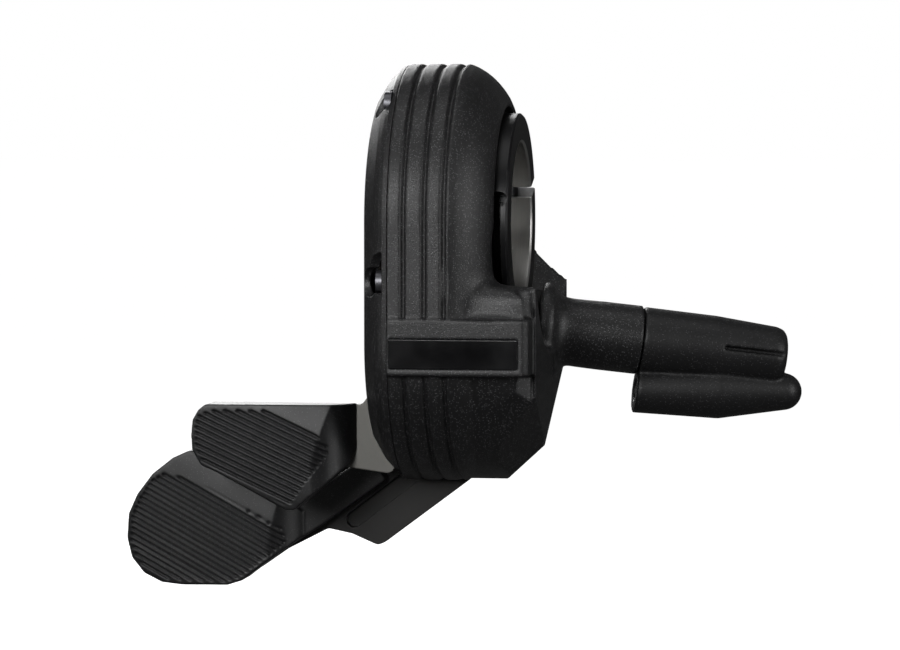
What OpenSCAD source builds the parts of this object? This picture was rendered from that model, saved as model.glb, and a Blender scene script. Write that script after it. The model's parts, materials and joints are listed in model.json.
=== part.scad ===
// Wired thumb shifter for a mountain bicycle handlebar. X runs along the bar
// towards the stem, Z is up, the rider looks along +Y. The origin is the bar's axis.

/* [Handlebar clamp] */
// Bore of the clamp, the bar it grips
bar_d = 22.2; // [22:0.1:22.4]
// Wall of the clamp sleeve
sleeve_wall = 4; // [3.9:0.05:4.05]
// How far the sleeve stands out of the case towards the stem
sleeve_out = 10; // [9.8:0.1:10.4]
// Width of the split the clamp screw closes
split_w = 1.6; // [1.2:0.1:2]
// Shank of the clamp screw
bolt_d = 4; // [3.6:0.1:4]

/* [Case] */
// Radius of the ribbed case about the bar
case_r = 22; // [21.9:0.1:22.4]
// Lowest point of the case under the bar's axis
case_drop = 36.3; // [36.2:0.1:37]
// Wall of the case
case_wall = 2.2; // [2:0.1:2.3]
// Width of the three grooves round the case
groove_w = 0.8; // [0.5:0.05:1]
// Depth of the three grooves
groove_d = 0.55; // [0.3:0.05:0.7]
// Side face of the block that carries the cable port
block_x = 14.2; // [14.1:0.1:14.6]

/* [Cable port] */
// Outside diameter of the port stub
stub_d = 9.8; // [9.6:0.1:10]
// Turn of the port away from the rider, degrees
port_turn = 12.6; // [11:0.2:14]
// Dip of the port below level, degrees
port_dip = 6.8; // [6:0.2:7.4]
// Length of the clip-on port cover
cover_len = 20.5; // [19:0.5:22]

/* [Levers] */
// Travel of each lever about the bar, degrees
lever_swing = 6.5; // [5:0.5:6.5]
// Thickness of the lever plates
arm_t = 2; // [1.8:0.1:2]
// Thickness of the thumb pads
pad_t = 5.5; // [5:0.1:5.6]
// Pitch of the fine ribs on the thumb pads
rib_pitch = 0.75; // [0.65:0.05:0.9]
// Depth of the fine ribs
rib_d = 0.35; // [0.2:0.05:0.45]

/* [Fits] */
// Radial play of the lever hubs on the sleeve
running_fit = 0.05; // [0.03:0.01:0.08]
// Side play of each piece of the hub stack
side_play = 0.05; // [0.03:0.01:0.07]
// Gap between a piece and the pocket it sits in
seat_gap = 0.05; // [0.02:0.01:0.08]
// Radial clearance of a screw in its hole
screw_clear = 0.2; // [0.12:0.02:0.3]

/* [Hidden] */
$fn = 96;
bar_r = bar_d / 2;
sleeve_r = bar_r + sleeve_wall;
sleeve_x0 = -9.5;
clamp_turn = 20;
bolt_at = [4.9, 18.8];
block_y = 20.6;
part_x = -5.63;
lean = 2.1;
low_r = case_r - lean;
low_z = -(case_drop - low_r);
cav_r = case_r - case_wall;
wall_x = 0.3;
stack = [wall_x, 0.4, 3.5, 0.4, 3.5, 0.4, 0.8];
hub_r = sleeve_r + 1.55;
coil_r = hub_r + 0.45;
wire_d = 0.6;
upper_y = -10.4;
lower_y = 2.2;
stop_gap = 0.15;
throw_y = sin(lever_swing);
port_o = [13.8, 9.2, -15.85];
stub_len = 11.9;
spigot_r = stub_d / 2 - 1.1;
spigot_len = 6;
band_z = [-20.57, -12.83];
band_y = case_r + 0.25;
plate_x = [-5.35, 12.3];
plate_z = [-19.55, -15.6];
// Screws of the end cover: y, z
cover_at = [[-19.2, -7.9], [-12, 16.4], [12.9, 15.7], [14.2, -19.7]];
post_r = 2;
screw_x = -6.4;
board_y = 10;
switch_z = -21;
switch_at = [-6.6, -0.6];
board_at = [[5.6, -22.4], [-3.4, -17.4]];

function stack_x(i) = i == 0 ? stack[0] : stack_x(i - 1) - stack[i];
function lens(v) = sqrt(v * v);
// Corners of a polygon rounded to radius r with n steps
function fillet(a, b, c, r, n) =
  let (u = (a - b) / lens(a - b), v = (c - b) / lens(c - b),
    h = acos(max(-0.9999, min(0.9999, u * v))) / 2,
    t = min(r / tan(h), lens(a - b) * 0.49, lens(c - b) * 0.49),
    rr = t * tan(h), m = (u + v) / lens(u + v), o = b + m * (rr / sin(h)),
    s = b + u * t - o, e = b + v * t - o,
    a0 = atan2(s[1], s[0]), d0 = atan2(e[1], e[0]) - a0,
    d = d0 > 180 ? d0 - 360 : d0 < -180 ? d0 + 360 : d0)
  [for (i = [0 : n]) o + rr * [cos(a0 + d * i / n), sin(a0 + d * i / n)]];
function rounded(p, r, n = 5) = let (k = len(p))
  [for (i = [0 : k - 1]) each fillet(p[(i + k - 1) % k], p[i], p[(i + 1) % k], r, n)];

module about_x(x = 0) translate([x, 0, 0]) rotate([0, 90, 0]) children();
// A round bar along X, or a tube where r1 is given
module bar_x(r, x0, x1, r1 = 0) about_x(x0) difference() {
  cylinder(r = r, h = x1 - x0);
  if (r1 > 0) translate([0, 0, -1]) cylinder(r = r1, h = x1 - x0 + 2);
}
// A plate in the XZ plane from y0 to y1
module plate(y0, y1) translate([0, y1, 0]) rotate([90, 0, 0]) linear_extrude(height = y1 - y0)
  children();
module box(a, b) translate(a) cube(b - a);
module port() translate(port_o) rotate([0, 0, port_turn]) rotate([0, 90 + port_dip, 0]) children();

// The case's outside or inside from its radius along X: round the bar on top,
// flat to the rider, round again below
module body(p) {
  x0 = p[0][1];
  x1 = p[len(p) - 1][1];
  about_x() rotate_extrude() polygon(concat([[0, x0]], p, [[0, x1]]));
  translate([0, -lean, low_z]) about_x() rotate_extrude()
    polygon(concat([[0, x0]], [for (q = p) [q[0] - lean, q[1]]], [[0, x1]]));
  translate([0, 0, low_z]) linear_extrude(height = -low_z)
    polygon(concat([for (q = p) [q[1], -q[0]]],
      [for (i = [len(p) - 1 : -1 : 0]) [p[i][1], p[i][0] - 2 * lean]]));
}
function groove(x) = [[case_r, x - groove_w / 2], [case_r - groove_d, x - groove_w / 4],
  [case_r - groove_d, x + groove_w / 4], [case_r, x + groove_w / 2]];
case_line = concat([[case_r, part_x]], groove(-3.43), groove(-0.55), groove(2.12),
  [[case_r, 2.74], [case_r - 0.45, 3.8], [case_r - 1.05, 4.8], [case_r - 1.75, 5.7],
  [case_r - 2.55, 6.5], [case_r - 3.4, 7.2], [case_r - 4.3, 7.8], [sleeve_r + 1.6, 8.25]]);
cover_line = [[sleeve_r + 1.8, -9.6], [sleeve_r + 2.7, -9.35], [sleeve_r + 4.2, -8.4],
  [case_r - 1.6, -7.7], [case_r - 0.8, -6.95], [case_r - 0.3, -6.35], [case_r - 0.12, part_x - seat_gap]];

// The clamp's screw axis, turned up behind the case
module clamp(z) rotate([clamp_turn, 0, 0]) translate([bolt_at[0], bolt_at[1], z]) children();
module clamp_sleeve() color("dimgray") difference() {
  union() {
    about_x() rotate_extrude() polygon([[bar_r, sleeve_x0 + 0.25], [bar_r + 0.25, sleeve_x0],
      [sleeve_r - 0.3, sleeve_x0], [sleeve_r, sleeve_x0 + 0.3], [sleeve_r, sleeve_out - 0.3],
      [sleeve_r - 0.3, sleeve_out], [bar_r + 0.25, sleeve_out], [bar_r, sleeve_out - 0.25]]);
    rotate([clamp_turn, 0, 0]) intersection() {
      box([1, 13, -5.4], [8, 23, 5.2]);
      union() {
        translate([bolt_at[0], bolt_at[1], -6]) cylinder(r = 4, h = 12);
        box([1, 13, -6], [8, bolt_at[1], 6]);
      }
    }
  }
  rotate([clamp_turn, 0, 0]) box([-12, bar_r - 2, -split_w / 2], [12, 26, split_w / 2]);
  // relief groove round the sleeve by the case, with its short key slot
  about_x(7.75) rotate([0, 0, -103]) rotate_extrude(angle = 123)
    translate([sleeve_r - 2.5, 0]) square([4, 1.25]);
  rotate([-13, 0, 0]) {
    translate([8.8, -sleeve_r - 1, 0]) rotate([-90, 0, 0]) cylinder(r = 1.05, h = 3.4);
    box([7.75, -sleeve_r - 1, -1.05], [8.8, 2.4 - sleeve_r, 1.05]);
  }
  clamp(-8) cylinder(r = bolt_d / 2 + screw_clear, h = 16);
  clamp(-6.5) cylinder(r = 3.6, h = 2.5);
  clamp(2.8) cylinder(r = 3.4 / cos(30) + seat_gap, h = 4, $fn = 6);
  bar_x(sleeve_r + 1, stack_x(6) - 2 * side_play, stack_x(5), sleeve_r - 0.7);
}
module clamp_screw() color("silver") difference() {
  union() {
    clamp(-7) cylinder(r = 3.4, h = 3);
    clamp(-4.5) cylinder(r = bolt_d / 2, h = 10.3);
  }
  clamp(-7.5) cylinder(r = 1.75, h = 2.3, $fn = 6);
}
module clamp_nut() color("silver") difference() {
  clamp(2.8) cylinder(r = 3.4 / cos(30), h = 3, $fn = 6);
  clamp(2) cylinder(r = bolt_d / 2, h = 5);
}

module side(x0, x1) rotate([90, 0, 90]) translate([0, 0, x0]) linear_extrude(height = x1 - x0)
  children();
module block() difference() {
  union() {
    difference() {
      side(1, block_x) intersection() {
        union() {
          translate([0.9, block_y + 0.9 - case_drop]) circle(r = block_y + 0.9);
          translate([-block_y, -15]) square([block_y + 15.6, 10]);
        }
        translate([-block_y, -case_drop]) square([block_y + 13, case_drop - 8.3]);
      }
      // edges of the block towards the stem
      translate([block_x, -block_y, -40]) rotate([0, 0, 45]) translate([-0.75, -3, 0]) cube([3, 6, 40]);
      translate([12.21, -15.89, -26.25]) rotate([0, 43, -39.6]) translate([0, -40, -40])
        cube([20, 80, 80]);
      translate([0, -block_y, -8.3]) rotate([45, 0, 0]) translate([-1, -1, -1]) cube([20, 2, 2]);
    }
    // boss of the port, behind and proud of the block
    plate(1.5, 16.2) polygon([[3, -1.5], [block_x + 0.2, -1.5], [block_x + 0.2, -21.6], [13, -23.2],
      [12.3, -26.2], [11.4, -31.7], [8.6, -34], [3, -34]]);
  }
  // flared way for the bar and for a neighbouring clamp
  about_x(7.6) cylinder(r1 = sleeve_r + 0.95, r2 = sleeve_r + 3.4, h = 7);
  // underside follows the round of the case at the back
  side(-1, 20) difference() {
    translate([-10, -40]) square([40, 26]);
    translate([-0.9, -(case_drop - 19.3)]) circle(r = 19.3);
  }
}
module main_case() color("dimgray") difference() {
  union() {
    difference() {
      union() {
        body(case_line);
        block();
        box([part_x, -band_y, band_z[0]], [13.7, -15, band_z[1]]);
        port() cylinder(r = stub_d / 2, h = stub_len);
        port() rotate_extrude() polygon(concat([[0, -4], [stub_d / 2 + 1.9, -4]],
          [for (a = [90 : -15 : 0]) [stub_d / 2 + 1.9 - 1.9 * cos(a), 0.9 - 1.9 * sin(a)]], [[0, 0.9]]));
        port() cylinder(r = spigot_r, h = stub_len + spigot_len);
      }
      translate([0, 0, 0]) body([[cav_r, part_x - 1], [cav_r, wall_x]]);
      intersection() {
        body([[cav_r, 0], [cav_r, 3]]);
        box([0, -16, -36], [4, 14, -19]);
      }
      box([2.9, -9.5, -29], [9.6, 11.2, -19.5]);
      box([part_x - 1, -8, -19.5], [2.9, 11.2, low_z]);
      // duct of the leads from the port down to the board
      box([5.9, 6, -19.7], [8.8, 9.4, -14.6]);
    }
    for (p = cover_at) intersection() {
      translate([0, p[0], p[1]]) bar_x(post_r, part_x, wall_x + 1);
      body([[case_r - 0.8, part_x], [case_r - 0.8, wall_x + 1]]);
    }
    translate([0, board_y + 1, 0]) for (p = board_at) translate([p[0], 0, p[1]]) rotate([-90, 0, 0])
      cylinder(r = 1.9, h = p[0] > 0 ? 1.5 : 5);
  }
  bar_x(sleeve_r + seat_gap, -1, 12);
  bar_x(sleeve_r + 0.95, 6.6, 12);
  // window of the clamp lugs
  rotate([clamp_turn, 0, 0]) box([0.9, 12, -7.4], [12, 30, 6.6]);
  for (p = cover_at) translate([0, p[0], p[1]]) bar_x(1, part_x - 1, wall_x - 0.5);
  for (p = board_at) translate([p[0], board_y, p[1]]) rotate([-90, 0, 0])
    cylinder(r = 0.75, h = 3.4);
  // slot of the lower arm, its front edge the stop at rest
  box([part_x - 1, lower_y - stop_gap, -40], [2.9, lower_y + arm_t + 38 * throw_y + 0.3, -30]);
  // pocket of the nameplate
  box([plate_x[0] - 0.05, -band_y - 1, plate_z[0] - 0.05],
    [plate_x[1] + 0.05, -band_y + 0.45, plate_z[1] + 0.05]);
  // chamfered end of the band towards the stem
  translate([13.7, -band_y, -25]) rotate([0, 0, 45]) translate([-0.35, -1, 0]) cube([2, 2, 15]);
  port() translate([0, 0, stub_len - 4]) cylinder(r = 2.9, h = 20);
  port() translate([0, 0, -7]) cylinder(r = 1.4, h = 20);
  port() translate([0, 0, stub_len + 1.8]) difference() {
    cylinder(r = 6, h = 0.7);
    translate([0, 0, -1]) cylinder(r = spigot_r - 0.55, h = 4);
  }
}
module end_cover() color("dimgray") difference() {
  union() {
    difference() {
      body(cover_line);
      body([[sleeve_r + 1.8, -8.9], [sleeve_r + 2.6, -8.2], [cav_r, -6.6], [cav_r, part_x + 1]]);
    }
    for (p = cover_at) intersection() {
      translate([0, p[0], p[1]]) bar_x(post_r, -9.4, part_x - seat_gap);
      body([[sleeve_r + 1.9, -9.5], [sleeve_r + 4.1, -8.3], [case_r - 0.9, -6.8], [case_r - 0.9, part_x]]);
    }
  }
  bar_x(sleeve_r + 0.15, -12, -8);
  for (p = cover_at) translate([0, p[0], p[1]]) {
    bar_x(1 + screw_clear, -12, 0);
    bar_x(2, -12, screw_x);
  }
  // scoop that bares the screw on the rider's side
  translate([screw_x - 6, -22.1, cover_at[0][1] + 1.2]) rotate([0, 90, 0]) cylinder(r = 3, h = 6);
  // windows of the two arms, their front edges the stops at rest
  box([-12, upper_y - stop_gap, -40], [0, upper_y + arm_t + 36.5 * throw_y + 0.35, -21]);
  box([-9.9, lower_y - stop_gap, -40], [0, lower_y + arm_t + 38 * throw_y + 0.3, -31]);
}
module cover_screws() color("silver") for (p = cover_at) translate([0, p[0], p[1]]) difference() {
  union() {
    bar_x(1.7, screw_x - 1, screw_x);
    bar_x(1, screw_x - 0.5, -1.6);
  }
  about_x(screw_x - 1.1) cylinder(r = 0.95, h = 0.7, $fn = 6);
}
module nameplate() color("black") difference() {
  box([plate_x[0], -band_y - 0.02, plate_z[0]], [plate_x[1], -band_y + 0.45, plate_z[1]]);
}

module thrust_washers() color("goldenrod") for (i = [0, 2, 4])
  bar_x(sleeve_r + 1.5, stack_x(i + 1) - 0, stack_x(i) - side_play, sleeve_r + running_fit);
module retaining_ring() color("silver") difference() {
  bar_x(sleeve_r + 1.3, stack_x(6), stack_x(5) - side_play, sleeve_r - 0.65);
  box([-10, -1.6, 10], [-6, 1.6, 18]);
}

// Hub ring of a lever with the plates that reach down from it
module hub(i) bar_x(hub_r, stack_x(i + 1), stack_x(i) - side_play, sleeve_r + running_fit);
module root(i, y) plate(y, y + arm_t) polygon([[stack_x(i + 1), -11], [stack_x(i + 1) + 1.4, -11],
  [stack_x(i + 1) + 1.4, -20], [stack_x(i + 1), -20]]);
upper_arm = rounded([[-7.5, -19], [-4.3, -19], [-4.3, -28.5], [-6, -33.5], [-7, -34.9], [-13.4, -34],
  [-20.6, -38.2], [-30, -33.2], [-32.2, -31.4], [-32.2, -26.9], [-30, -25.3], [-11, -25.3],
  [-9.6, -23.4], [-7.5, -23.4]], 1);
lower_arm = rounded([[-3.4, -18.9], [2.4, -18.9], [2.4, -36.6], [-9.9, -45.8], [-10.9, -46.2], [-14.6, -44.6],
  [-18, -43.9], [-24, -47], [-28, -49.8], [-40, -49.8], [-43.6, -45.5], [-43.4, -41], [-40, -36.5],
  [-36, -34.2], [-33.6, -35], [-22, -40.4], [-15.4, -34.9], [-9, -34.6], [-5.2, -33],
  [-3.4, -29]], 1);
module upper_lever() color("silver") difference() {
  union() {
    hub(3);
    root(3, upper_y);
    root(3, lower_y);
    plate(upper_y, upper_y + arm_t) polygon(upper_arm);
    plate(lower_y, lower_y + arm_t)
      polygon([[-7.5, -19], [-5.6, -19], [-5.6, -23.6], [-7.5, -23.6]]);
  }
  bar_x(sleeve_r + running_fit, -12, 0);
  for (p = upper_fix) hole(p, upper_y, 0.9);
}
module lower_lever() color("silver") difference() {
  union() {
    hub(1);
    root(1, lower_y);
    plate(lower_y, lower_y + arm_t) polygon(lower_arm);
  }
  bar_x(sleeve_r + running_fit, -12, 4);
  for (p = lower_fix) hole(p, lower_y, 0.9);
  // long slot pressed into its face, from the pad up into the case
  plate(lower_y - 1, lower_y + 1.2) union() {
    translate([-14.3, -42.6]) circle(r = 1.15);
    translate([-14.3, -42.6]) rotate(37.5) translate([0, -1.15]) square([13, 2.3]);
  }
}
upper_fix = [[-28.6, -29], [-20.2, -32.4]];
lower_fix = [[-38, -41], [-28.8, -45.4]];
module hole(p, y, r) translate([p[0], y - 4, p[1]]) rotate([-90, 0, 0]) cylinder(r = r + screw_clear, h = 8);
module pad_screw(p, y) translate([p[0], y, p[1]]) rotate([-90, 0, 0]) {
  translate([0, 0, -2.6]) cylinder(r = 0.9, h = arm_t + 3);
  difference() {
    translate([0, 0, arm_t]) cylinder(r = 1.8, h = 1.1);
    translate([0, 0, arm_t + 0.5]) cylinder(r = 0.85, h = 1, $fn = 6);
  }
}
module upper_pad_screws() color("silver") for (p = upper_fix) pad_screw(p, upper_y);
module lower_pad_screws() color("silver") for (p = lower_fix) pad_screw(p, lower_y);

// Thumb pad: its outline bowed towards the thumb, rolled back at one end and cut with fine ribs
module crown(p, y, c, tilt, bow, roll, e) intersection() {
  plate(y - pad_t - 0.5, y) polygon(p);
  translate([c[0], y - pad_t + bow, c[1]]) rotate([0, tilt, 0]) rotate([0, 90, 0])
    cylinder(r = bow - e, h = 80, center = true, $fn = 180);
  union() {
    box([-60, y - pad_t - 1 + e, -60], [roll, y + 1, -10]);
    translate([roll, y - pad_t + 6.9, -60]) cylinder(r = 7 - e, h = 50);
  }
}
module pad(p, y, c, tilt, ribs, bow, roll, fix) difference() {
  crown(p, y, c, tilt, bow, roll, 0);
  difference() {
    intersection() {
      plate(y - pad_t - 2, y - 1) polygon(ribs);
      translate([c[0], y - pad_t + bow, c[1]]) rotate([0, tilt, 0])
        for (i = [-16 : 16]) translate([-40, -bow - 1, i * rib_pitch]) cube([80, 8, rib_pitch * 0.45]);
    }
    crown(p, y, c, tilt, bow, roll, rib_d);
  }
  for (q = fix) translate([q[0], y - 2.7, q[1]]) rotate([-90, 0, 0]) cylinder(r = 0.9, h = 4);
}
upper_out = rounded([[-32.1, -25.1], [-33.1, -25.9], [-33.9, -27.3], [-34.1, -29.4], [-34, -31.5],
  [-32.8, -33.6], [-30.7, -34.5], [-20.9, -39.7], [-19.7, -39.7],
  [-14.6, -35.4], [-12.5, -33.4], [-10.6, -28.4], [-10.6, -25.1]], 0.9, 3);
upper_ribs = rounded([[-33, -26.4], [-30.8, -25.9], [-23.7, -25.9], [-18.8, -27.9], [-15.2, -30.2],
  [-15, -32], [-18, -35.7], [-20.1, -38.8], [-21.1, -39], [-30.8, -34], [-32.6, -33], [-33.5, -31.2],
  [-33.5, -27.6]], 0.4, 3);
lower_out = rounded([[-35.6, -32.6], [-37.3, -32.7], [-39.5, -33.7], [-42.4, -36], [-44.6, -38.9],
  [-45.9, -41.7], [-46.2, -45.2], [-45.6, -48], [-43.9, -50.2], [-41.3, -51.5], [-38.4, -51.8],
  [-31.7, -51.7], [-29.5, -51], [-26.4, -48.6], [-22.4, -45.7], [-20.7, -44.4], [-20.6, -42],
  [-24, -38.8]], 0.9, 3);
lower_ribs = rounded([[-42.3, -36.5], [-40.6, -35.9], [-37.8, -36.5], [-34.1, -38], [-23.7, -43.7],
  [-23.4, -45.8], [-26.6, -48.1], [-29.8, -50.6], [-31.9, -51.3], [-41.4, -51.1], [-43.6, -49.8],
  [-45.1, -47.9], [-45.7, -45.3], [-45.4, -42], [-44.2, -39.4]], 0.4, 3);
lower_neck = rounded([[-24, -46.8], [-18.4, -43.2],
  [-9.2, -36.6], [-10.4, -35.2], [-13.9, -34.6], [-24, -41]], 0.6, 3);
module upper_pad() color("black")
  pad(upper_out, upper_y, [-24, -32], 25, upper_ribs, 45, -18.6, upper_fix);
module lower_pad() color("black") union() {
  pad(lower_out, lower_y, [-34, -42.6], 29, lower_ribs, 60, -27, lower_fix);
  plate(lower_y - 2.4, lower_y) polygon(lower_neck);
}

// Return spring: one turn of wire round the hub, one leg behind the arm, one out to the case
module coil(i, y) about_x(stack_x(i) - side_play - 1)
  rotate([0, 0, asin((y + arm_t + wire_d / 2 + 0.1) / coil_r)]) {
    rotate_extrude(angle = 305) translate([coil_r, 0]) circle(r = wire_d / 2);
    translate([coil_r, 0, 0]) {
      sphere(r = wire_d / 2 + 0.02);
      translate([0, 0, -1.7]) cylinder(r = wire_d / 2 - 0.02, h = 1.7);
    }
    rotate([0, 0, 305]) translate([coil_r, 0, 0]) {
      sphere(r = wire_d / 2 + 0.02);
      rotate([0, 90, 0]) cylinder(r = wire_d / 2 - 0.02, h = cav_r - coil_r - 1.3);
    }
  }
module upper_spring() color("silver") coil(3, lower_y);
module lower_spring() color("silver") coil(1, lower_y);

module circuit_board() color("darkgreen") difference() {
  box([-8, board_y, -24.6], [9.2, board_y + 1, -15.6]);
  box([wall_x - 0.2, board_y - 1, -19.7], [10, board_y + 2, -15]);
  for (p = board_at) translate([p[0], board_y - 1, p[1]]) rotate([-90, 0, 0])
    cylinder(r = 0.75 + screw_clear, h = 3);
}
module lever_switches() color("black") for (x = switch_at) difference() {
  box([x - 1.6, board_y - 2.2, switch_z - 2.2], [x + 1.6, board_y, switch_z + 2.2]);
}
module switch_plungers() color("white") for (x = switch_at)
  translate([x, board_y - 2.9, switch_z]) rotate([-90, 0, 0]) cylinder(r = 1.1, h = 0.7);
module control_chip() color("black") box([1.7, board_y - 1, -23.9], [3.7, board_y, -20.4]);
module board_screws() color("silver") for (p = board_at) translate([p[0], board_y, p[1]])
  rotate([-90, 0, 0]) {
    difference() {
      translate([0, 0, -0.9]) cylinder(r = 1.4, h = 0.9);
      translate([0, 0, -1]) cylinder(r = 0.6, h = 0.5, $fn = 6);
    }
    cylinder(r = 0.75, h = 3.2);
  }

module port_socket() color("black") port() difference() {
  translate([0, 0, stub_len - 4]) cylinder(r = 2.9 - seat_gap, h = 8.6);
  translate([0, 0, stub_len - 1]) cylinder(r = 1.9, h = 8);
  for (s = [-1, 1]) translate([0, s * 0.75, stub_len - 5]) cylinder(r = 0.3, h = 5);
}
module port_pins() color("gold") port() for (s = [-1, 1])
  translate([0, s * 0.75, stub_len - 4.6]) cylinder(r = 0.3, h = 6.4);
function port_at(z, y) = port_o + y * [-sin(port_turn), cos(port_turn), 0] +
  z * [cos(port_dip) * cos(port_turn), cos(port_dip) * sin(port_turn), -sin(port_dip)];
// Leads from the pins back through the duct and down to the board
module port_leads() color("black") for (s = [-1, 1]) {
  a = port_at(-6.6, s * 0.75);
  z = s > 0 ? -20.3 : -21.4;
  port() translate([0, s * 0.75, -6.6]) cylinder(r = 0.45, h = stub_len + 1.9);
  translate(a) sphere(r = 0.47);
  translate([a[0], a[1], z]) {
    cylinder(r = 0.45, h = a[2] - z);
    sphere(r = 0.47);
    rotate([-90, 0, 0]) cylinder(r = 0.45, h = board_y - a[1]);
  }
}
module port_seal() color("black") port() translate([0, 0, stub_len + 2.15]) rotate_extrude()
  translate([spigot_r - 0.26, 0]) circle(r = 0.27);
// Clip-on cover: a sleeve over the port and a lobe below it that turns the cord back
cover_end = stub_len + cover_len;
module port_cover() color("black") port() difference() {
  union() {
    rotate_extrude() polygon([[0, stub_len + 0.2], [stub_d / 2 - 0.1, stub_len + 0.2],
      [stub_d / 2 - 0.18, cover_end - 9.8], [4.15, cover_end - 1], [3.85, cover_end - 0.1],
      [3.3, cover_end + 0.4], [2.5, cover_end + 0.65], [0, cover_end + 0.65]]);
    translate([7.2, 0, stub_len - 1]) rotate([0, -5.7, 0]) rotate_extrude() polygon(concat([[0, 0],
      [3.25, 0], [4, cover_len - 7.3]],
      [for (a = [0 : 15 : 75]) [2.68 * cos(a), cover_len + 2.1 + 2.68 * sin(a)]], [[0, cover_len + 4.78]]));
  }
  translate([-10, -10, stub_len - 9.8]) cube([30, 20, 10]);
  translate([0, 0, stub_len - 1]) cylinder(r = spigot_r + seat_gap, h = spigot_len + 1.4);
  translate([0, 0, stub_len + 5]) cylinder(r = 2.6, h = cover_len - 9);
  translate([7.2, 0, stub_len - 1]) rotate([0, -5.7, 0]) translate([0, 0, -1]) cylinder(r = 1.5, h = 14);
  for (y = [-8, 3.5]) translate([-0.75, y, cover_end - 8.8]) cube([0.55, 4.5, 12]);
}

clamp_sleeve();
clamp_screw();
clamp_nut();
main_case();
end_cover();
cover_screws();
nameplate();
thrust_washers();
retaining_ring();
upper_lever();
upper_pad();
upper_pad_screws();
upper_spring();
lower_lever();
lower_pad();
lower_pad_screws();
lower_spring();
circuit_board();
lever_switches();
switch_plungers();
control_chip();
board_screws();
port_socket();
port_pins();
port_leads();
port_seal();
port_cover();
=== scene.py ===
import bpy
import bmesh
import json
import math
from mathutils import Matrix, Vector


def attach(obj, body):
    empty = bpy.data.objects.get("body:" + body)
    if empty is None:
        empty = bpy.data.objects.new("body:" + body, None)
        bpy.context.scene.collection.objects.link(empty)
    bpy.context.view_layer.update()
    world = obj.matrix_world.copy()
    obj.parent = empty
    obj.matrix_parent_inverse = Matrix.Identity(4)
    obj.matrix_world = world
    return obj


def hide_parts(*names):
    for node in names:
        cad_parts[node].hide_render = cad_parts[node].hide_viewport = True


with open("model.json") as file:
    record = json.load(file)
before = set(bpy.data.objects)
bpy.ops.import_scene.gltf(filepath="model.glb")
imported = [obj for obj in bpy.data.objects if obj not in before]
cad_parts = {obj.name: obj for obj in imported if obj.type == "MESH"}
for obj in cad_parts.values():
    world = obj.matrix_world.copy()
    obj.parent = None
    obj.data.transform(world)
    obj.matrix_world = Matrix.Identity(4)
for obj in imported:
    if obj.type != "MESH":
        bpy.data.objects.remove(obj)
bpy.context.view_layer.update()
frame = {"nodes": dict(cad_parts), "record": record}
nodes = frame["nodes"]
mm = 0.001
print("frame loaded:", len(nodes), "nodes")


# small helpers for node trees
def addNode(tree, kind, x=0, y=0, **values):
    made = tree.nodes.new(kind)
    made.location = (x, y)
    for key, value in values.items():
        setattr(made, key, value)
    return made


def newGroup(name, inputs, outputs):
    group = bpy.data.node_groups.new(name, "ShaderNodeTree")
    for label, kind, value in inputs:
        sock = group.interface.new_socket(label, in_out="INPUT", socket_type=kind)
        if value is not None:
            sock.default_value = value
    for label, kind in outputs:
        group.interface.new_socket(label, in_out="OUTPUT", socket_type=kind)
    return group, addNode(group, "NodeGroupInput", -1000), addNode(group, "NodeGroupOutput", 700)


def maths(tree, how, a, b=None, x=0, y=0, clamp=False):
    made = addNode(tree, "ShaderNodeMath", x, y, operation=how, use_clamp=clamp)
    for i, v in enumerate((a, b)):
        if v is None:
            continue
        if isinstance(v, (int, float)):
            made.inputs[i].default_value = v
        else:
            tree.links.new(v, made.inputs[i])
    return made.outputs[0]


def spread(tree, value, low, high, x=0, y=0, outLow=0.0, outHigh=1.0):
    made = addNode(tree, "ShaderNodeMapRange", x, y)
    tree.links.new(value, made.inputs["Value"])
    for label, v in (("From Min", low), ("From Max", high), ("To Min", outLow), ("To Max", outHigh)):
        if isinstance(v, (int, float)):
            made.inputs[label].default_value = v
        else:
            tree.links.new(v, made.inputs[label])
    return made.outputs["Result"]


# effects that several materials share
def makeGrainGroup():
    # moulded grain: a fine height and a few bright specks that are painted glints of the finish
    group, gi, go = newGroup("mouldedGrain",
                             [("Grain Size", "NodeSocketFloat", 0.2),
                              ("Speck Share", "NodeSocketFloat", 0.1)],
                             [(label, "NodeSocketFloat") for label in ("Height", "Speck", "Cloud")])
    coords = addNode(group, "ShaderNodeTexCoord", -900, 300)
    scale = maths(group, "DIVIDE", 1000.0, gi.outputs["Grain Size"], -800, 0)
    fine = addNode(group, "ShaderNodeTexNoise", -500, 300)
    fine.inputs["Detail"].default_value = 3
    speck = addNode(group, "ShaderNodeTexVoronoi", -500, 0)
    cloud = addNode(group, "ShaderNodeTexNoise", -500, -300)
    cloud.inputs["Scale"].default_value = 160
    cloud.inputs["Detail"].default_value = 4
    for tex in (fine, speck, cloud):
        group.links.new(coords.outputs["Object"], tex.inputs["Vector"])
    group.links.new(scale, fine.inputs["Scale"])
    group.links.new(maths(group, "MULTIPLY", scale, 0.8, -700, -100), speck.inputs["Scale"])
    share = maths(group, "SUBTRACT", 1.0, gi.outputs["Speck Share"], -300, -150)
    tint = addNode(group, "ShaderNodeSeparateColor", -300, 0)
    group.links.new(speck.outputs["Color"], tint.inputs["Color"])
    mask = maths(group, "GREATER_THAN", tint.outputs[0], share, -100, 0)
    near = spread(group, speck.outputs["Distance"], 0.1, 0.4, -100, -200, 1.0, 0.0)
    group.links.new(fine.outputs["Fac"], go.inputs["Height"])
    group.links.new(maths(group, "MULTIPLY", mask, near, 200, 0), go.inputs["Speck"])
    group.links.new(cloud.outputs["Fac"], go.inputs["Cloud"])
    return group


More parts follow.
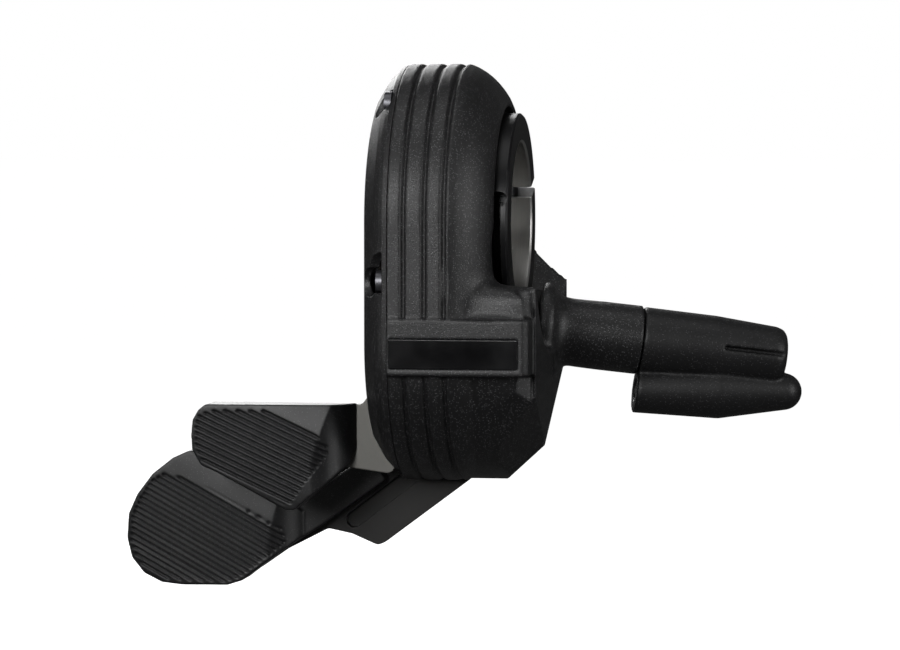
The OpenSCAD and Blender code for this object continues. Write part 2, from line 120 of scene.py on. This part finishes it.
def makeEdgeGroup():
    # how sharp the surface turns, for lighter edges: partly rubbed wear, partly a painted edge highlight
    group, gi, go = newGroup("edgeWearAndHighlight",
                             [("Width", "NodeSocketFloat", 0.0003), ("Breakup", "NodeSocketFloat", 0.5)],
                             [("Mask", "NodeSocketFloat"), ("Normal", "NodeSocketVector")])
    bevel = addNode(group, "ShaderNodeBevel", -700, 0, samples=6)
    group.links.new(gi.outputs["Width"], bevel.inputs["Radius"])
    plain = addNode(group, "ShaderNodeNewGeometry", -700, -200)
    turn = addNode(group, "ShaderNodeVectorMath", -500, 0, operation="DOT_PRODUCT")
    group.links.new(bevel.outputs["Normal"], turn.inputs[0])
    group.links.new(plain.outputs["Normal"], turn.inputs[1])
    sharp = spread(group, turn.outputs["Value"], 0.999, 0.82, -300, 0)
    coords = addNode(group, "ShaderNodeTexCoord", -900, -400)
    noise = addNode(group, "ShaderNodeTexNoise", -500, -400)
    noise.inputs["Scale"].default_value = 900
    noise.inputs["Detail"].default_value = 5
    group.links.new(coords.outputs["Object"], noise.inputs["Vector"])
    low = maths(group, "MULTIPLY", gi.outputs["Breakup"], 0.8, -500, -600)
    patch = spread(group, noise.outputs["Fac"], low, 0.75, -300, -400)
    group.links.new(maths(group, "MULTIPLY", sharp, patch, 0, 0, True), go.inputs["Mask"])
    group.links.new(bevel.outputs["Normal"], go.inputs["Normal"])
    return group


def makeBrushGroup():
    # fine turning marks round the bar, along X or across it
    group, gi, go = newGroup("turnedMetal",
                             [("Pitch", "NodeSocketFloat", 0.1), ("Stretch", "NodeSocketFloat", 0.02)],
                             [("Height", "NodeSocketFloat"), ("Tone", "NodeSocketFloat")])
    coords = addNode(group, "ShaderNodeTexCoord", -900, 300)
    flat = addNode(group, "ShaderNodeSeparateXYZ", -700, 300)
    group.links.new(coords.outputs["Object"], flat.inputs[0])
    y2 = maths(group, "POWER", flat.outputs["Y"], 2.0, -550, 200)
    z2 = maths(group, "POWER", flat.outputs["Z"], 2.0, -550, 50)
    radius = maths(group, "SQRT", maths(group, "ADD", y2, z2, -400, 100), None, -250, 100)
    joined = addNode(group, "ShaderNodeCombineXYZ", -100, 200)
    group.links.new(flat.outputs["X"], joined.inputs["X"])
    group.links.new(radius, joined.inputs["Y"])
    stretched = maths(group, "MULTIPLY", flat.outputs["Z"], gi.outputs["Stretch"], -250, -100)
    group.links.new(stretched, joined.inputs["Z"])
    noise = addNode(group, "ShaderNodeTexNoise", 100, 200)
    noise.inputs["Detail"].default_value = 3
    group.links.new(joined.outputs[0], noise.inputs["Vector"])
    group.links.new(maths(group, "DIVIDE", 1000.0, gi.outputs["Pitch"], -100, 0), noise.inputs["Scale"])
    group.links.new(noise.outputs["Fac"], go.inputs["Height"])
    group.links.new(spread(group, noise.outputs["Fac"], 0.3, 0.7, 300, 0, 0.75, 1.0), go.inputs["Tone"])
    return group


def makeReachGroup():
    # distance from the bar's axis and place along it, in millimetres
    group, gi, go = newGroup("barPlace", [], [("Radius", "NodeSocketFloat"), ("Along", "NodeSocketFloat")])
    coords = addNode(group, "ShaderNodeTexCoord", -900, 0)
    flat = addNode(group, "ShaderNodeSeparateXYZ", -700, 0)
    group.links.new(coords.outputs["Object"], flat.inputs[0])
    y2 = maths(group, "POWER", flat.outputs["Y"], 2.0, -500, 100)
    z2 = maths(group, "POWER", flat.outputs["Z"], 2.0, -500, -100)
    radius = maths(group, "SQRT", maths(group, "ADD", y2, z2, -300, 0), None, -150, 0)
    group.links.new(maths(group, "MULTIPLY", radius, 1000.0, 0, 0), go.inputs["Radius"])
    group.links.new(maths(group, "MULTIPLY", flat.outputs["X"], 1000.0, 0, -200), go.inputs["Along"])
    return group


grainGroup = makeGrainGroup()
edgeGroup = makeEdgeGroup()
turnedGroup = makeBrushGroup()
reachGroup = makeReachGroup()


def startMaterial(name, look):
    made = bpy.data.materials.new(name)
    made.use_nodes = True
    tree = made.node_tree
    shader = tree.nodes["Principled BSDF"]
    shader.inputs["Metallic"].default_value = look.get("metallic", 0.0)
    shader.inputs["Specular IOR Level"].default_value = look.get("specular", 0.5)
    shader.inputs["IOR"].default_value = look.get("ior", 1.5)
    made.diffuse_color = (*look["color"], 1)
    return made, tree, shader


def placeGroup(tree, group, x, y, **values):
    made = addNode(tree, "ShaderNodeGroup", x, y, node_tree=group)
    for label, v in values.items():
        made.inputs[label].default_value = v
    return made


def mixColor(tree, fac, a, b, x=0, y=0):
    made = addNode(tree, "ShaderNodeMix", x, y, data_type="RGBA")
    for label, v in ((0, fac), (6, a), (7, b)):
        if hasattr(v, "links"):
            tree.links.new(v, made.inputs[label])
        elif isinstance(v, (int, float)):
            made.inputs[label].default_value = v
        else:
            made.inputs[label].default_value = (*v, 1)
    return made.outputs[2]


def plasticMaterial(name, look):
    made, tree, shader = startMaterial(name, look)
    grain = placeGroup(tree, grainGroup, -900, 0,
                       **{"Grain Size": look["grain"], "Speck Share": look["specks"]})
    edge = placeGroup(tree, edgeGroup, -900, -400, **{"Width": look["round"] * mm, "Breakup": look["edgeBreakup"]})
    faded = [c * look["fade"] for c in look["color"]]
    tone = mixColor(tree, grain.outputs["Cloud"], look["color"], faded, -600, 200)
    # bright specks painted into the base colour: painted glints of the grainy finish
    glintSpecked = mixColor(tree, maths(tree, "MULTIPLY", grain.outputs["Speck"], look["paintedGlint"], -700, 50),
                       tone, (0.5, 0.5, 0.52), -400, 200)
    # sharp edges lightened in colour: partly rubbed wear, partly a painted edge highlight
    wearAndHighlightColor = mixColor(tree, maths(tree, "MULTIPLY", edge.outputs["Mask"], look["wearAndHighlightShare"], -600, -300),
                      glintSpecked, (0.16, 0.16, 0.165), -200, 200)
    tree.links.new(wearAndHighlightColor, shader.inputs["Base Color"])
    rough = spread(tree, grain.outputs["Cloud"], 0.3, 0.7, -400, -50,
                   look["rough"] - 0.05, look["rough"] + 0.06)
    tree.links.new(rough, shader.inputs["Roughness"])
    bump = addNode(tree, "ShaderNodeBump", -300, -300)
    bump.inputs["Strength"].default_value = look["bump"]
    bump.inputs["Distance"].default_value = look["grain"] * 0.3 * mm
    tree.links.new(grain.outputs["Height"], bump.inputs["Height"])
    tree.links.new(edge.outputs["Normal"], bump.inputs["Normal"])
    tree.links.new(bump.outputs["Normal"], shader.inputs["Normal"])
    return made


def metalMaterial(name, look):
    made, tree, shader = startMaterial(name, look)
    turned = placeGroup(tree, turnedGroup, -900, 0, Pitch=look["pitch"], Stretch=look["stretch"])
    edge = placeGroup(tree, edgeGroup, -900, -400, **{"Width": look["round"] * mm, "Breakup": look["edgeBreakup"]})
    tone = mixColor(tree, turned.outputs["Tone"], [c * 0.7 for c in look["color"]], look["color"], -600, 200)
    # sharp edges lightened in colour: partly rubbed wear, partly a painted edge highlight
    wearAndHighlightColor = mixColor(tree, maths(tree, "MULTIPLY", edge.outputs["Mask"], 0.5, -600, -300), tone,
                      [min(1, c * 1.6 + 0.04) for c in look["color"]], -300, 200)
    tree.links.new(wearAndHighlightColor, shader.inputs["Base Color"])
    rough = spread(tree, turned.outputs["Height"], 0.3, 0.7, -400, -50,
                   look["rough"] - 0.06, look["rough"] + 0.08)
    tree.links.new(rough, shader.inputs["Roughness"])
    bump = addNode(tree, "ShaderNodeBump", -300, -300)
    bump.inputs["Strength"].default_value = look["bump"]
    bump.inputs["Distance"].default_value = 0.00002
    tree.links.new(turned.outputs["Height"], bump.inputs["Height"])
    tree.links.new(edge.outputs["Normal"], bump.inputs["Normal"])
    tree.links.new(bump.outputs["Normal"], shader.inputs["Normal"])
    return made


casePlastic = {"color": (0.0065, 0.0065, 0.007), "rough": 0.42, "specular": 0.5, "grain": 0.15,
               "specks": 0.35, "paintedGlint": 0.3, "fade": 0.7, "bump": 1.0, "round": 0.3, "edgeBreakup": 0.5,
               "wearAndHighlightShare": 0.1}
padPlastic = {"color": (0.006, 0.006, 0.0065), "rough": 0.38, "specular": 0.4, "grain": 0.14, "specks": 0.2,
               "paintedGlint": 0.1, "fade": 0.8, "bump": 0.25, "round": 0.3, "edgeBreakup": 0.5, "wearAndHighlightShare": 0.08}
bootPlastic = {"color": (0.007, 0.007, 0.0075), "rough": 0.46, "specular": 0.4, "grain": 0.14, "specks": 0.2,
               "paintedGlint": 0.14, "fade": 0.8, "bump": 0.35, "round": 0.35, "edgeBreakup": 0.5, "wearAndHighlightShare": 0.06}
plateGloss = {"color": (0.004, 0.004, 0.0045), "rough": 0.14, "specular": 0.5, "grain": 0.5, "specks": 0.0,
              "paintedGlint": 0.0, "fade": 0.9, "bump": 0.02, "round": 0.12, "edgeBreakup": 0.5, "wearAndHighlightShare": 0.1}
innerPlastic = dict(padPlastic, color=(0.02, 0.02, 0.02), rough=0.5)
boardGreen = dict(padPlastic, color=(0.012, 0.10, 0.045), rough=0.3, round=0.1)
plungerWhite = dict(padPlastic, color=(0.7, 0.7, 0.66), rough=0.4, specks=0.0, round=0.1)
bearingCream = dict(padPlastic, color=(0.62, 0.58, 0.48), rough=0.4, specks=0.0, round=0.08)
sealRubber = dict(padPlastic, color=(0.015, 0.015, 0.015), rough=0.6, specks=0.0, round=0.05)
screwSteel = {"color": (0.56, 0.56, 0.58), "metallic": 1.0, "rough": 0.26, "pitch": 0.2, "stretch": 0.3,
              "bump": 0.2, "round": 0.12, "edgeBreakup": 0.4}
coverSteel = dict(screwSteel, color=(0.12, 0.12, 0.13), rough=0.4)
springSteel = dict(screwSteel, color=(0.36, 0.36, 0.38), rough=0.34, round=0.05)
leverMetal = {"color": (0.028, 0.0275, 0.027), "metallic": 0.85, "rough": 0.42, "pitch": 0.3,
              "stretch": 0.5, "bump": 0.2, "round": 0.2, "edgeBreakup": 0.4}
contactGold = dict(screwSteel, color=(0.85, 0.62, 0.28), rough=0.22, round=0.05)


def sleeveMaterial():
    # black anodised outside, bare turned metal in the bore and on the rim
    look = {"color": (0.004, 0.004, 0.0045), "bare": (0.58, 0.575, 0.56), "bareRadius": 11.42, "rough": 0.34,
            "specular": 0.25}
    made, tree, shader = startMaterial("anodisedSleeve", look)
    place = placeGroup(tree, reachGroup, -1100, 300)
    turned = placeGroup(tree, turnedGroup, -1100, 0, Pitch=0.12, Stretch=0.01)
    edge = placeGroup(tree, edgeGroup, -1100, -400, **{"Width": 0.15 * mm, "Breakup": 0.5})
    mask = maths(tree, "LESS_THAN", place.outputs["Radius"], look["bareRadius"], -800, 300)
    bare = mixColor(tree, turned.outputs["Tone"], [c * 0.6 for c in look["bare"]], look["bare"], -600, 0)
    # sharp edges lightened in colour: partly rubbed wear, partly a painted edge highlight
    wearAndHighlightMask = maths(tree, "MULTIPLY", edge.outputs["Mask"], 0.35, -700, -300)
    wearAndHighlightColor = mixColor(tree, wearAndHighlightMask, look["color"], (0.3, 0.3, 0.3), -600, 250)
    tree.links.new(mixColor(tree, mask, wearAndHighlightColor, bare, -300, 200), shader.inputs["Base Color"])
    tree.links.new(mask, shader.inputs["Metallic"])
    tree.links.new(spread(tree, mask, 0, 1, -300, 0, look["rough"], 0.3), shader.inputs["Roughness"])
    bump = addNode(tree, "ShaderNodeBump", -300, -300)
    bump.inputs["Strength"].default_value = 0.3
    bump.inputs["Distance"].default_value = 0.00003
    tree.links.new(turned.outputs["Height"], bump.inputs["Height"])
    tree.links.new(edge.outputs["Normal"], bump.inputs["Normal"])
    tree.links.new(bump.outputs["Normal"], shader.inputs["Normal"])
    return made


materialOf = {
    "case_plastic": plasticMaterial("casePlastic", casePlastic),
    "pad_plastic": plasticMaterial("padPlastic", padPlastic),
    "plate_black": plasticMaterial("plateGloss", plateGloss),
    "part_black": plasticMaterial("innerPlastic", innerPlastic),
    "board": plasticMaterial("boardGreen", boardGreen),
    "plunger_white": plasticMaterial("plungerWhite", plungerWhite),
    "bearing_plastic": plasticMaterial("bearingCream", bearingCream),
    "seal_rubber": plasticMaterial("sealRubber", sealRubber),
    "lead_jacket": plasticMaterial("leadJacket", sealRubber),
    "steel": metalMaterial("screwSteel", screwSteel),
    "spring_steel": metalMaterial("springSteel", springSteel),
    "lever_alloy": metalMaterial("leverMetal", leverMetal),
    "contact_gold": metalMaterial("contactGold", contactGold),
    "anodised_black": sleeveMaterial(),
}
bootMaterial = plasticMaterial("bootPlastic", bootPlastic)
slotOf = {row["node"]: row["material_slot"] for row in frame["record"]["subparts"]}


def dress(obj, material):
    obj.data.materials.clear()
    obj.data.materials.append(material)


for name, obj in nodes.items():
    dress(obj, materialOf[slotOf[name]])
bareArm = dict(leverMetal, color=(0.12, 0.118, 0.11), rough=0.38)
dress(nodes["upper_lever"], metalMaterial("upperArmMetal", bareArm))
dress(nodes["cover_screws"], metalMaterial("coverSteel", coverSteel))
print("materials made:", len(materialOf))


# visible copies that stand for a CAD node: softer edges, and two of them with a changed shape
def copyNode(name, newName):
    source = nodes[name]
    obj = bpy.data.objects.new(newName, source.data.copy())
    bpy.context.scene.collection.objects.link(obj)
    body = next(b for b, members in frame["record"]["behaviour"]["bodies"].items() if name in members)
    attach(obj, body)
    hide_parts(name)
    return obj


def applyAll(obj):
    graph = bpy.context.evaluated_depsgraph_get()
    mesh = bpy.data.meshes.new_from_object(obj.evaluated_get(graph))
    obj.modifiers.clear()
    old = obj.data
    obj.data = mesh
    bpy.data.meshes.remove(old)


def melted(obj, voxel, passes):
    # remeshed evenly, then its edges relaxed
    remesh = obj.modifiers.new("even", "REMESH")
    remesh.mode = "VOXEL"
    remesh.voxel_size = voxel * mm
    remesh.use_smooth_shade = True
    relax = obj.modifiers.new("relax", "SMOOTH")
    relax.factor = 0.5
    relax.iterations = passes
    applyAll(obj)
    for poly in obj.data.polygons:
        poly.use_smooth = True


def cutAway(obj, cuts, deep):
    # corners taken off by boxes that start on a plane: a point, a direction and two spans, in mm
    work = bmesh.new()
    work.from_mesh(obj.data)
    bmesh.ops.remove_doubles(work, verts=work.verts, dist=2e-6)
    work.to_mesh(obj.data)
    work.free()
    for i, (point, way, across, along) in enumerate(cuts):
        out = Vector(way).normalized()
        second = (Vector((0, 1, 0)) - out * out.y).normalized()
        first = second.cross(out)
        corners = [(Vector(point) + first * a + second * b + out * c) * mm
                   for a in across for b in along for c in (0, deep)]
        mesh = bpy.data.meshes.new("cutter%d" % i)
        mesh.from_pydata(corners, [], [(0, 1, 3, 2), (4, 6, 7, 5), (0, 4, 5, 1),
                                       (2, 3, 7, 6), (0, 2, 6, 4), (1, 5, 7, 3)])
        shape = bmesh.new()
        shape.from_mesh(mesh)
        bmesh.ops.recalc_face_normals(shape, faces=shape.faces)
        shape.to_mesh(mesh)
        shape.free()
        cutter = bpy.data.objects.new("cutter%d" % i, mesh)
        bpy.context.scene.collection.objects.link(cutter)
        cut = obj.modifiers.new("cut", "BOOLEAN")
        cut.operation = "DIFFERENCE"
        cut.solver = "EXACT"
        cut.object = cutter
        applyAll(obj)
        bpy.data.objects.remove(cutter)
        bpy.data.meshes.remove(mesh)


def relaxNear(obj, spots):
    # rounder hollows: more smoothing passes close to each spot
    for i, (centre, reach, passes) in enumerate(spots):
        group = obj.vertex_groups.new(name="soft%d" % i)
        centre = Vector(centre) * mm
        for v in obj.data.vertices:
            near = 1 - (v.co - centre).length / (reach * mm)
            if near > 0:
                group.add([v.index], min(1.0, near * 2.5), "REPLACE")
        relax = obj.modifiers.new("soft%d" % i, "SMOOTH")
        relax.factor = 0.5
        relax.iterations = passes
        relax.vertex_group = group.name
    applyAll(obj)


def thinned(obj, triangles):
    have = sum(len(p.vertices) - 2 for p in obj.data.polygons)
    if have > triangles:
        less = obj.modifiers.new("fewer", "DECIMATE")
        less.ratio = triangles / have
        applyAll(obj)
    for poly in obj.data.polygons:
        poly.use_smooth = True


# the lower corner towards the stem is cut here as in the photo; the solid is fuller there
mouldedCase = {"voxel": 0.2, "passes": 3, "triangles": 190000, "deep": 8,
               "cuts": [((13.02, -19.47, -21.62), (0.292, -0.733, -0.612), (-12, 12), (-0.9, 25)),
                        ((17.26, -15.0, -21.32), (0.969, 0.104, -0.225), (0, 18), (-20, 40)),
                        ((15.2, -15.0, -30.27), (0.678, 0.026, -0.735), (-6, 14), (-20, 40))],
               "spots": [((7.5, -17.0, -8.0), 7.5, 300), ((13.8, 4.5, -12.0), 9.5, 150),
                         ((16.0, 8.5, -16.0), 6.5, 180)]}
moulded = copyNode("main_case", "mouldedCase")
cutAway(moulded, mouldedCase["cuts"], mouldedCase["deep"])
melted(moulded, mouldedCase["voxel"], mouldedCase["passes"])
relaxNear(moulded, mouldedCase["spots"])
thinned(moulded, mouldedCase["triangles"])
dress(moulded, materialOf["case_plastic"])
print("moulded case:", len(moulded.data.polygons), "faces")

def addArcWall(obj, look):
    # part of a tube along X, open away from the bar's axis, added to the mesh
    aty, atz = look["at"]
    inner, outer = look["radius"]
    start, end = look["x"]
    middle = math.atan2(-atz, -aty)
    work = bmesh.new()
    work.from_mesh(obj.data)
    rings = []
    for i in range(look["steps"] + 1):
        angle = middle + math.radians(look["turn"]) * (2 * i / look["steps"] - 1)
        across, up = math.cos(angle), math.sin(angle)
        rings.append([work.verts.new(Vector((x, aty + radius * across, atz + radius * up)) * mm)
                      for x, radius in ((start, inner), (end, inner), (end, outer), (start, outer))])
    wall = [work.faces.new(rings[0]), work.faces.new(rings[-1][::-1])]
    for a, b in zip(rings, rings[1:]):
        wall += [work.faces.new((a[k], b[k], b[(k + 1) % 4], a[(k + 1) % 4])) for k in range(4)]
    bmesh.ops.recalc_face_normals(work, faces=wall)
    work.to_mesh(obj.data)
    work.free()


# the solid's recess of the rear lower screw is open to the inside, so the copy gets a wall there
recessWall = {"at": (14.2, -19.7), "radius": (1.99, 2.35), "x": (-8.3, -6.1), "turn": 90, "steps": 16}
linedCover = copyNode("end_cover", "linedCover")
addArcWall(linedCover, recessWall)
dress(linedCover, materialOf["case_plastic"])

softCopies = {"port_cover": {"name": "portBoot", "voxel": 0.2, "passes": 10, "material": bootMaterial},
              "upper_pad": {"name": "upperThumbPad", "voxel": 0.12, "passes": 3,
                            "material": materialOf["pad_plastic"]},
              "lower_pad": {"name": "lowerThumbPad", "voxel": 0.145, "passes": 3,
                            "material": materialOf["pad_plastic"]}}
for name, look in softCopies.items():
    soft = copyNode(name, look["name"])
    melted(soft, look["voxel"], look["passes"])
    dress(soft, look["material"])
    print(look["name"], len(soft.data.polygons), "faces")


# floor, light and camera
def makeFloor():
    look = {"color": (0.86, 0.86, 0.86), "size": 6.0, "height": -0.075, "glow": 0.8,
            "bounce": (0.1, 0.1, 0.1), "near": 0.14, "far": 0.6}
    mesh = bpy.data.meshes.new("studioFloor")
    s = look["size"]
    mesh.from_pydata([(-s, -s, 0), (s, -s, 0), (s, s, 0), (-s, s, 0)], [], [(0, 1, 2, 3)])
    floor = bpy.data.objects.new("studioFloor", mesh)
    floor.location.z = look["height"]
    bpy.context.scene.collection.objects.link(floor)
    made, tree, shader = startMaterial("paleFloor", look)
    coords = addNode(tree, "ShaderNodeTexCoord", -900, 300)
    reach = addNode(tree, "ShaderNodeVectorMath", -700, 300, operation="LENGTH")
    tree.links.new(coords.outputs["Object"], reach.inputs[0])
    away = spread(tree, reach.outputs["Value"], look["near"], look["far"], -500, 300)
    path = addNode(tree, "ShaderNodeLightPath", -900, -200)
    pale = mixColor(tree, path.outputs["Is Camera Ray"], look["bounce"], look["color"], -500, 500)
    tree.links.new(mixColor(tree, away, pale, (0, 0, 0), -300, 300), shader.inputs["Base Color"])
    shader.inputs["Roughness"].default_value = 0.9
    shader.inputs["Specular IOR Level"].default_value = 0.1
    seen = maths(tree, "MAXIMUM", path.outputs["Is Camera Ray"], path.outputs["Is Transmission Ray"],
                 -400, -200)
    shader.inputs["Emission Color"].default_value = (1, 1, 1, 1)
    glow = spread(tree, away, 0, 1, -300, 0, look["glow"], 1.0)
    tree.links.new(maths(tree, "MULTIPLY", seen, glow, -100, -200), shader.inputs["Emission Strength"])
    dress(floor, made)


def makeWorld():
    look = {"fill": 0.025, "mirror": 0.05}
    world = bpy.data.worlds.new("studio")
    bpy.context.scene.world = world
    world.use_nodes = True
    tree = world.node_tree
    back = tree.nodes["Background"]
    back.inputs["Color"].default_value = (1, 1, 1, 1)
    path = addNode(tree, "ShaderNodeLightPath", -800)
    seen = maths(tree, "MAXIMUM", path.outputs["Is Camera Ray"], path.outputs["Is Transmission Ray"], -600)
    mirrored = maths(tree, "MULTIPLY", path.outputs["Is Glossy Ray"], look["mirror"], -600, -200)
    seen = maths(tree, "MAXIMUM", seen, mirrored, -400)
    tree.links.new(spread(tree, seen, 0, 1, -200, 0, look["fill"], 1.0), back.inputs["Strength"])


def makeLamp(name, place, size, power, target=(0, 0, -0.015)):
    lamp = bpy.data.lights.new(name, "AREA")
    lamp.shape = "RECTANGLE"
    lamp.size, lamp.size_y = size
    lamp.energy = power
    obj = bpy.data.objects.new(name, lamp)
    obj.location = place
    obj.rotation_mode = "QUATERNION"
    obj.rotation_quaternion = (Vector(target) - Vector(place)).to_track_quat("-Z", "Y")
    bpy.context.scene.collection.objects.link(obj)


def makeCamera():
    look = {"azimuth": 8.5, "elevation": 3.0, "distance": 0.6, "lens": 170.4, "target": (-0.0002, 0, -0.0147)}
    cam = bpy.data.cameras.new("camera")
    cam.lens = look["lens"]
    cam.sensor_width = 36
    cam.clip_start, cam.clip_end = 0.01, 50
    obj = bpy.data.objects.new("camera", cam)
    a, e = math.radians(look["azimuth"]), math.radians(look["elevation"])
    back = Vector((math.sin(a) * math.cos(e), -math.cos(a) * math.cos(e), math.sin(e)))
    obj.location = Vector(look["target"]) + back * look["distance"]
    obj.rotation_mode = "QUATERNION"
    obj.rotation_quaternion = (-back).to_track_quat("-Z", "Y")
    bpy.context.scene.collection.objects.link(obj)
    bpy.context.scene.camera = obj


makeFloor()
makeWorld()
# place, size and power of each lamp
lamps = {"overhead": ((0.0, -0.15, 0.75), (0.6, 0.5), 1.2),
         "leftSide": ((-0.7, -0.3, 0.2), (0.3, 0.6), 1.2),
         "rightSide": ((0.75, -0.32, 0.12), (0.3, 0.6), 3.0),
         "front": ((-0.22, -0.85, 0.26), (0.34, 0.4), 5.0),
         "rear": ((-0.35, 0.8, 0.35), (0.5, 0.4), 4.0)}
for lampName, (place, size, power) in lamps.items():
    makeLamp(lampName, place, size, power)
makeCamera()
bpy.context.scene.view_settings.view_transform = "Standard"
print("stage, lamps and camera made")
